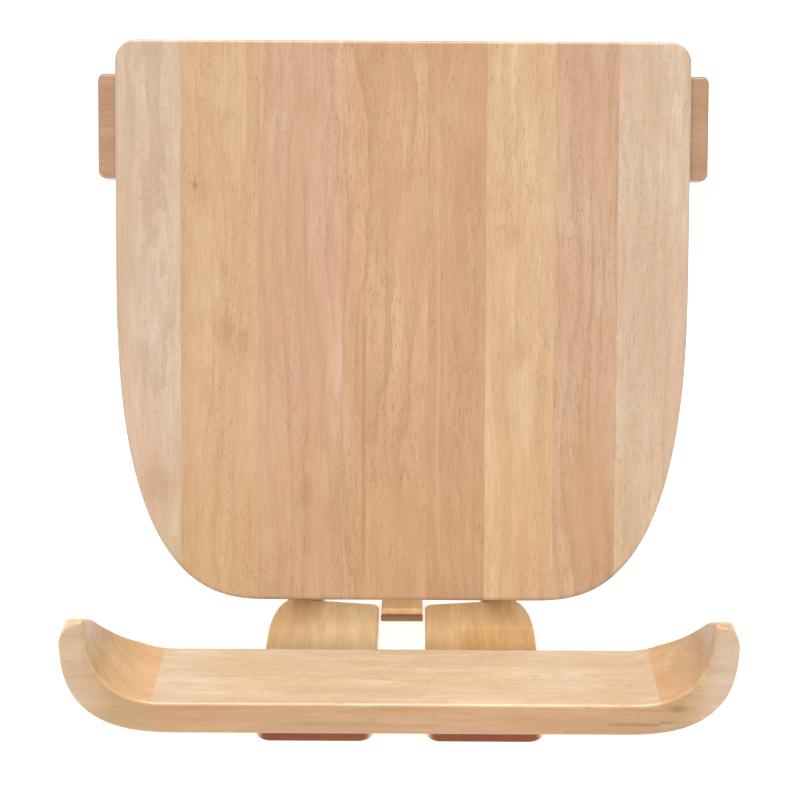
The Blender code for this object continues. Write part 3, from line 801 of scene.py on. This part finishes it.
def ledge_outline(low, top, half, tip_top):
    """The ledge seen from the front, its ends turned up with a large outer bend."""
    across, down = TIP_CORNER
    bend, shoulder = tip_top - BEND_BELOW_TIP, tip_top - down
    middle = (half - OUTER_SWEEP, shoulder)
    outer = superellipse(middle, OUTER_SWEEP, shoulder - low, OUTER_POWER, 60)
    tip = [(half - across + across * x, shoulder + down * y) for x, y in arc((0, 0), 1, 6, 90, 14)]
    tip += [
        (half - across + TIP_EDGE * x, tip_top - TIP_DROP + TIP_DROP * y)
        for x, y in arc((0, 0), 1, 102, 180, 8)
    ]
    middle = (half - across - TIP_EDGE - INNER_SWEEP, bend)
    inner = superellipse(middle, INNER_SWEEP, bend - top, INNER_POWER, 48)
    return both_sides([*outer, *tip, *reversed(list(inner))])


def slope_back(shape, front, rear, top, tip_top):
    """Moves the back of the upturned ends forward, the more the higher they stand."""
    run = rear + 2 * MM - front
    start, end = SLOPE_POWERS
    for vert in shape.verts:
        rise = (vert.co.z - top) / (tip_top - top)
        if rise <= 0 or vert.co.y < (front + rear) / 2:
            continue
        share = max(0.0, 1 - min(rise, 1.0) ** start) ** (1 / end)
        limit = max(front + run * share, front + TIP_DEPTH)
        vert.co.y += min(0.0, limit - rear)


# A dark streak that crosses the glue line into the right end block
LEDGE_STREAK = (-29.5 * MM, 142 * MM, 24 * MM, 0.9)
LEDGE_LOOKS = {
    "ledge_left": dict(
        colour=(0.500, 0.320, 0.163),
        seed=57,
        pores=0.6,
        # Painted shade darkens the front; painted light lightens the tip, its front most
        painted_light_facing=((TOWARDS_READER, (0.61, 0.61, 0.56)),),
        tone_and_painted_light_fades=(
            (0.158, 0.185, (1.12, 1.15, 1.20)),
            (0.165, 0.188, (1.07, 1.11, 1.45), TOWARDS_READER),
        ),
    ),
    "ledge_middle": dict(
        colour=(0.480, 0.350, 0.230),
        seed=23,
        rings=0.6,
        warmth=0.3,
        lines=(LEDGE_STREAK, (-27 * MM, -20 * MM, 60 * MM, 0.35)),
        # Painted shade darkens the front
        painted_light_facing=((TOWARDS_READER, (0.68, 0.54, 0.38)),),
    ),
    "ledge_right": dict(
        colour=(0.455, 0.280, 0.141),
        seed=71,
        warmth=0.3,
        lines=(LEDGE_STREAK,),
        knots=((-40 * MM, 162 * MM, 2.6 * MM, 1.2),),
        # Painted shade darkens the front; painted light lightens the tip, its front most
        painted_light_facing=((TOWARDS_READER, (0.67, 0.69, 0.65)),),
        tone_and_painted_light_fades=(
            (0.158, 0.185, (1.10, 1.13, 1.16)),
            (0.165, 0.188, (1.16, 1.29, 1.75), TOWARDS_READER),
        ),
    ),
}


class STAND_OT_ledge(bpy.types.Operator):
    """Shape the ledge: a plank between two upturned end blocks"""

    bl_idname = "stand.ledge"
    bl_label = "Build ledge"

    def execute(self, context):
        low, high = corners("ledge_plank", "ledge_end_left", "ledge_end_right")
        top = MOUNTS["ledge_top"]["pos_m"][2]
        left, right = (corner.x for corner in corners("ledge_plank"))
        outline = evened(ledge_outline(low.z, top, high.x, high.z), 6 * MM)
        for name, node, slot, cuts in (
            ("ledge_left", "ledge_end_left", "ledge_end", [(left, 1)]),
            ("ledge_middle", "ledge_plank", "ledge", [(left, -1), (right, 1)]),
            ("ledge_right", "ledge_end_right", "ledge_end", [(right, -1)]),
        ):
            shape = plate(outline, -high.y, -low.y, sizes().round_over, STAND_UP)
            slope_back(shape, low.y, high.y, top, high.z)
            for at, outward in cuts:
                sawn(shape, (at, 0, 0), (outward, 0, 0))
            look = wood(name, turn=GRAIN_ALONG_X, heart=(0.03, 0.06, 0.05), **LEDGE_LOOKS[name])
            make_piece(name, shape, "base", look, [node], slot)
        return {"FINISHED"}


FOOT_REAR = corners("foot_right")[0].y + 132.3 * MM
FOOT_SLANT = 9 * MM
FOOT_CORNER = (14 * MM, 45 * MM)
# Each foot's colour, set far paler than the rest of the wood as painted light so that the feet under the board
# read as lit, and the darker piece it is glued up with
FOOT_LOOKS = {
    "left": dict(
        colour=(0.97, 0.70, 0.38), seed=76, blocks=((-1, -70 * MM, -1, 1, (0.95, 0.89, 0.80)),)
    ),
    "right": dict(
        colour=(0.97, 0.65, 0.32), seed=90, blocks=((35 * MM, 1, -1, -31 * MM, (0.99, 0.90, 0.78)),)
    ),
}


def foot_outline(side, low, high):
    """A foot seen from above: its rear edge slants back, and its outer rear corner is swept."""
    inner, outer = sorted((abs(low.x), abs(high.x)))
    (across, along), steps = FOOT_CORNER, 16
    outline = rounded(
        [
            (side * inner, FOOT_REAR, 5 * MM),
            (side * inner, low.y, 9.5 * MM),
            (side * outer, low.y, 9.5 * MM),
            (side * outer, FOOT_REAR + FOOT_SLANT, 5 * MM),
        ],
        steps,
    )
    bend = []
    for x_share, y_share in arc((0, 0), 1, 0, 90, steps):
        x = outer - across * (1 - x_share)
        rear = FOOT_REAR + FOOT_SLANT * (x - inner) / (outer - inner)
        bend.append((side * x, rear - along * (1 - y_share)))
    outline = outline[: -steps - 1] + bend
    return outline if side > 0 else outline[::-1]


class STAND_OT_feet(bpy.types.Operator):
    """Lay the two feet with the tongue and the strip between them"""

    bl_idname = "stand.feet"
    bl_label = "Build feet"

    def execute(self, context):
        for hand, side in (("left", -1), ("right", 1)):
            low, high = corners("foot_" + hand)
            outline = evened(foot_outline(side, low, high), 5 * MM)
            shape = plate(outline, low.z, high.z, 2 * MM)
            look = wood(
                "foot_" + hand,
                turn=GRAIN_ALONG_Y,
                rings=0.3,
                warmth=0.2,
                pores=0.3,
                # Painted shadow: the front ends, under the ledge, are darkened almost to black
                painted_light_facing=((TOWARDS_READER, (0.17, 0.048, 0.012)),),
                **FOOT_LOOKS[hand],
            )
            make_piece("foot_" + hand + "_board", shape, "base", look, ["foot_" + hand], "foot")
        low, high = corners("centre_tongue")
        # Painted light: the tongue's colour is set far paler than the wood so that it reads as lit between the
        # feet
        look = wood("tongue", (0.97, 0.66, 0.32), 91, turn=GRAIN_ALONG_Y, rings=0.3)
        make_piece("tongue", block(low, high, 1 * MM), "base", look, ["centre_tongue"], "frame")
        low, high = corners("tie_strip")
        # Painted shade: the strip is coloured dark brown, as it lies in shade between the feet
        look = wood("strip", (0.255, 0.124, 0.063), 97, turn=GRAIN_ALONG_X, rings=0.3)
        make_piece("strip", block(low, high, 1 * MM), "base", look, ["tie_strip"], "strip")
        return {"FINISHED"}


def runner_shape(hand):
    """Full height from the foot to the rail, then half height over the rail."""
    low, high = corners("runner_" + hand)
    rail = corners("rear_rail")[0]
    front = FOOT_REAR + 6 * MM
    lap = (low.z + high.z) / 2 + 0.2 * MM
    outline = [(front, low.z), (rail.y - GAP, low.z), (rail.y - GAP, lap)]
    outline += [(high.y, lap), (high.y, high.z), (front, high.z)]
    return plate(outline, low.x, high.x, 0.8 * MM, TO_SIDE, 3)


def cheek_shape(hand):
    """A nose round the hinge axis that runs back and down to the runner."""
    low, high = corners("hinge_cheek_" + hand)
    nose, radius = Vector(PIVOT.yz), 16 * MM
    front, rear = (Vector((PIVOT.y + behind, low.z)) for behind in (47 * MM, 108 * MM))
    turns = []
    for corner, side in ((rear, 1), (front, -1)):
        reach = corner - nose
        lean = math.acos(radius / reach.length)
        turns.append(math.degrees(math.atan2(reach.y, reach.x) + side * lean))
    outline = [tuple(front), tuple(rear), *arc(nose, radius, turns[0], turns[1] + 360, 56)]
    return plate(evened(outline, 4 * MM), low.x, high.x, 1.5 * MM, TO_SIDE, 4)


class STAND_OT_frame(bpy.types.Operator):
    """Build the frame behind the feet and the hinge's wooden pieces"""

    bl_idname = "stand.frame"
    bl_label = "Build frame"

    def execute(self, context):
        colour = tuple(finish().frame_wood)
        edge = 1.2 * MM
        for number, hand in enumerate(("left", "right")):
            name = "runner_" + hand
            look = wood(name, colour, 12 + number, turn=GRAIN_ALONG_Y, rings=0.4)
            make_piece(name + "_wood", runner_shape(hand), "base", look, [name], "frame")
            name = "hinge_cheek_" + hand
            look = wood(name, colour, 29 + number, turn=GRAIN_ALONG_Y, rings=0.6)
            make_piece(name + "_wood", cheek_shape(hand), "base", look, [name], "frame")
        look = wood("stretcher", colour, 19, turn=GRAIN_ALONG_X, rings=0.4)
        shape = block(*corners("stretcher"), edge)
        make_piece("stretcher_wood", shape, "base", look, ["stretcher"], "frame")
        half = corners("hinge_batten")[1].x
        low, high = (-half, BOARD_BACK + GAP, BATTEN_LOW), (half, BATTEN_BACK, BATTEN_HIGH)
        look = wood("batten", colour, 31, turn=GRAIN_ACROSS_BOARD, origin=PIVOT, rings=0.4)
        shape = placed_at(block(low, high, edge), TILT)
        make_piece("batten_wood", shape, "board", look, ["hinge_batten"], "frame")
        low = (-20 * MM, BOARD_BACK + GAP, BATTEN_HIGH + GAP)
        high = (20 * MM, BOARD_BACK + BAR_THICKNESS, BAR_LOW - GAP)
        look = wood("spine", colour, 37, turn=GRAIN_UP_BOARD, origin=PIVOT, rings=0.6)
        shape = placed_at(block(low, high, edge), TILT)
        make_piece("spine_wood", shape, "board", look, ["spine"], "frame")
        rail = frame["nodes"]["rear_rail"].data.materials
        rail.clear()
        rail.append(wood("rail", colour, 17, turn=GRAIN_ALONG_X, rings=0.5))
        return {"FINISHED"}


def knob_shape(side):
    """A fluted grip on a collar, its outer end dished."""
    lobes, steps = 7, 168
    profile = (
        (0.2, 0.0, 0), (0.2, 10.0, 0), (0.4, 10.3, 0), (2.0, 10.3, 0), (2.2, 10.6, 0),
        (2.2, 12.6, 0.4), (2.5, 13.4, 0.8), (3.2, 14.0, 1.0), (4.5, 14.2, 1.0), (12.0, 14.0, 1.0),
        (18.5, 13.6, 1.0), (20.2, 13.1, 0.9), (21.3, 12.1, 0.7), (21.8, 10.9, 0.4), (21.9, 9.6, 0.1),
        (21.7, 8.9, 0), (21.0, 8.4, 0), (20.8, 7.8, 0), (20.9, 3.0, 0), (21.0, 0.0, 0),
    )  # fmt: skip
    depth = sizes().knob_flutes
    shape = bmesh.new()
    rings = []
    for along, radius, flute in profile:
        ring = []
        for step in range(steps if radius else 1):
            angle = 2 * math.pi * step / steps
            reach = radius * MM + flute * depth * math.cos(lobes * angle)
            place = (side * along * MM, reach * math.cos(angle), reach * math.sin(angle))
            ring.append(shape.verts.new(place))
        rings.append(ring)
    skin(shape, rings)
    return shape


def screw_shape():
    """A countersunk head with a cross recess, looking down, its face at the origin."""
    shape = turned([(0, 0), (0, 3.3), (0.25, 3.7), (0.5, 3.7), (2.6, 1.8), (5, 1.8), (5, 0)])
    arms = bmesh.new()
    for across, along in ((0.55, 2.0), (2.0, 0.55)):
        low, high = (-across * MM, -along * MM, -MM), (across * MM, along * MM, 1.3 * MM)
        arm = block(low, high, 0.05 * MM, 1)
        spare = bpy.data.meshes.new("arm")
        arm.to_mesh(spare)
        arm.free()
        arms.from_mesh(spare)
        bpy.data.meshes.remove(spare)
    made = []
    for name, part in (("head", shape), ("arms", arms)):
        mesh = bpy.data.meshes.new(name)
        part.to_mesh(mesh)
        part.free()
        made.append(bpy.data.objects.new(name, mesh))
        bpy.context.scene.collection.objects.link(made[-1])
    cut = made[0].modifiers.new("cut", "BOOLEAN")
    cut.object, cut.operation, cut.solver, cut.use_self = made[1], "DIFFERENCE", "EXACT", True
    graph = bpy.context.evaluated_depsgraph_get()
    head = bpy.data.meshes.new_from_object(made[0].evaluated_get(graph))
    for obj in made:
        mesh = obj.data
        bpy.data.objects.remove(obj)
        bpy.data.meshes.remove(mesh)
    return head


def screw_places():
    """Every screw's body and where its head lies, with the shank along z."""
    for name in frame["nodes"]:
        if "screw" not in name:
            continue
        low, high = corners(name)
        x = (low.x + high.x) / 2
        if name.startswith(("foot", "cheek")):
            yield name, "base", Matrix.Translation((x, (low.y + high.y) / 2, low.z))
            continue
        if name.startswith("bar"):
            behind, up = BOARD_BACK + BAR_THICKNESS + GAP, (BAR_LOW + BAR_HIGH) / 2
        elif name.startswith("spine"):
            share = 0.28 if name.endswith("1") else 0.78
            behind = BOARD_BACK + BAR_THICKNESS + GAP
            up = BATTEN_HIGH + share * (BAR_LOW - BATTEN_HIGH)
        else:
            behind, up = BATTEN_BACK, BATTEN_HIGH - 9 * MM
        turn = Matrix.Rotation(math.radians(90), 4, "X")
        yield name, "board", TILT @ Matrix.Translation((x, behind - 0.1 * MM, up)) @ turn


class STAND_OT_fittings(bpy.types.Operator):
    """Add the knobs and the screws, and finish the rod, the washers and the pads"""

    bl_idname = "stand.fittings"
    bl_label = "Fit knobs and screws"

    def execute(self, context):
        metal = steel("zinc_steel")
        rubber = plastic("rubber", (0.03, 0.028, 0.026), 0.8, 2500)
        black = plastic("knob_plastic", tuple(finish().knob_plastic), 0.42, 1800)
        for hand, side in (("left", -1), ("right", 1)):
            low, high = corners("knob_" + hand)
            at = PIVOT + Vector((low.x if side > 0 else high.x, 0, 0))
            shape = placed_at(knob_shape(side), Matrix.Translation(at))
            name = "knob_" + hand
            make_piece(name + "_grip", shape, name, black, [name], "knob", smooth=50)
        head = screw_shape()
        for name, body, place in screw_places():
            shape = bmesh.new()
            shape.from_mesh(head)
            placed_at(shape, place)
            make_piece(name + "_head", shape, body, metal, [name], "steel", smooth=30)
        bpy.data.meshes.remove(head)
        for start, look in (("washer", metal), ("pivot_rod", metal), ("pad_", rubber)):
            for name, obj in frame["nodes"].items():
                if name.startswith(start):
                    obj.data.materials.clear()
                    obj.data.materials.append(look)
        return {"FINISHED"}


LAMPS = (
    # name, direction, strength, how soft in degrees, whether it shows in the lacquer
    ("overhead", (0.05, -0.05, -1.0), 3.0, 34, True),
    ("front", (0.03, 0.83, -0.55), 3.0, 30, False),
)


def add_floor(scene):
    shape = bmesh.new()
    bmesh.ops.create_grid(shape, x_segments=1, y_segments=1, size=4)
    mesh = bpy.data.meshes.new("floor")
    shape.to_mesh(mesh)
    shape.free()
    floor = bpy.data.objects.new("floor", mesh)
    scene.collection.objects.link(floor)
    floor.location.z = -0.2 * MM
    tree = Tree("floor")
    grit = tree.noise(tree.place((3, 3, 3)))
    pale = tuple(finish().floor)
    tree.link(tree.mix(grit, shaded(pale, 0.99), pale), tree.shader.inputs["Base Color"])
    tree.shader.inputs["Roughness"].default_value = 0.9
    tree.shader.inputs["Specular IOR Level"].default_value = 0.1
    tree.shader.inputs["Emission Color"].default_value = (1, 1, 1, 1)
    tree.shader.inputs["Emission Strength"].default_value = 0.65
    mesh.materials.append(tree.material)


def add_lights(scene):
    for name, aim, strength, softness, glossy in LAMPS:
        lamp = bpy.data.lights.new(name, "SUN")
        lamp.energy = strength
        lamp.angle = math.radians(softness)
        light = bpy.data.objects.new(name, lamp)
        scene.collection.objects.link(light)
        light.location = -2 * Vector(aim)
        light.visible_glossy = glossy
        light.rotation_euler = Vector(aim).to_track_quat("-Z", "Y").to_euler()
    world = bpy.data.worlds.new("studio")
    world.use_nodes = True
    world.node_tree.nodes["Background"].inputs["Color"].default_value = (1, 1, 1, 1)
    world.node_tree.nodes["Background"].inputs["Strength"].default_value = 0.4
    scene.world = world
    scene.view_settings.view_transform = "Standard"


def add_camera(scene):
    """A little above the stand and in front of it, looking down at the board."""
    camera = bpy.data.cameras.new("camera")
    camera.lens = 72
    camera.sensor_width = 36
    camera.shift_x = -0.0235
    eye = bpy.data.objects.new("camera", camera)
    scene.collection.objects.link(eye)
    eye.location = (0.0105, -0.932, 0.571)
    down, roll = math.radians(23.3), math.radians(0.31)
    turn = Matrix.Rotation(math.radians(90) - down, 4, "X") @ Matrix.Rotation(roll, 4, "Z")
    eye.rotation_euler = turn.to_euler()
    scene.camera = eye


class STAND_OT_stage(bpy.types.Operator):
    """Set the floor, the soft lights and the camera"""

    bl_idname = "stand.stage"
    bl_label = "Set the stage"

    def execute(self, context):
        add_floor(context.scene)
        add_lights(context.scene)
        add_camera(context.scene)
        return {"FINISHED"}


# ------------------------------------------------------------------ add-on


class STAND_PT_panel(bpy.types.Panel):
    """The sizes, the colours and one button for each step"""

    bl_idname = "STAND_PT_panel"
    bl_label = "Bible Stand"
    bl_space_type = "VIEW_3D"
    bl_region_type = "UI"
    bl_category = "Bible Stand"

    def draw(self, context):
        for group in (context.scene.stand_sizes, context.scene.stand_finish):
            column = self.layout.column()
            for name in type(group).__annotations__:
                column.prop(group, name)
        for operator in OPERATORS:
            self.layout.operator(operator.bl_idname)


OPERATORS = (
    STAND_OT_board,
    STAND_OT_bar,
    STAND_OT_ledge,
    STAND_OT_feet,
    STAND_OT_frame,
    STAND_OT_fittings,
    STAND_OT_stage,
)
CLASSES = (StandSizes, StandFinish, *OPERATORS, STAND_PT_panel)


def register():
    for made in CLASSES:
        bpy.utils.register_class(made)
    bpy.types.Scene.stand_sizes = PointerProperty(type=StandSizes)
    bpy.types.Scene.stand_finish = PointerProperty(type=StandFinish)


def unregister():
    del bpy.types.Scene.stand_sizes
    del bpy.types.Scene.stand_finish
    for made in reversed(CLASSES):
        bpy.utils.unregister_class(made)


def main():
    register()
    for operator in OPERATORS:
        group, name = operator.bl_idname.split(".")
        if getattr(getattr(bpy.ops, group), name)() != {"FINISHED"}:
            raise RuntimeError(f"{operator.bl_idname} didn't finish")


if __name__ == "__main__":
    main()
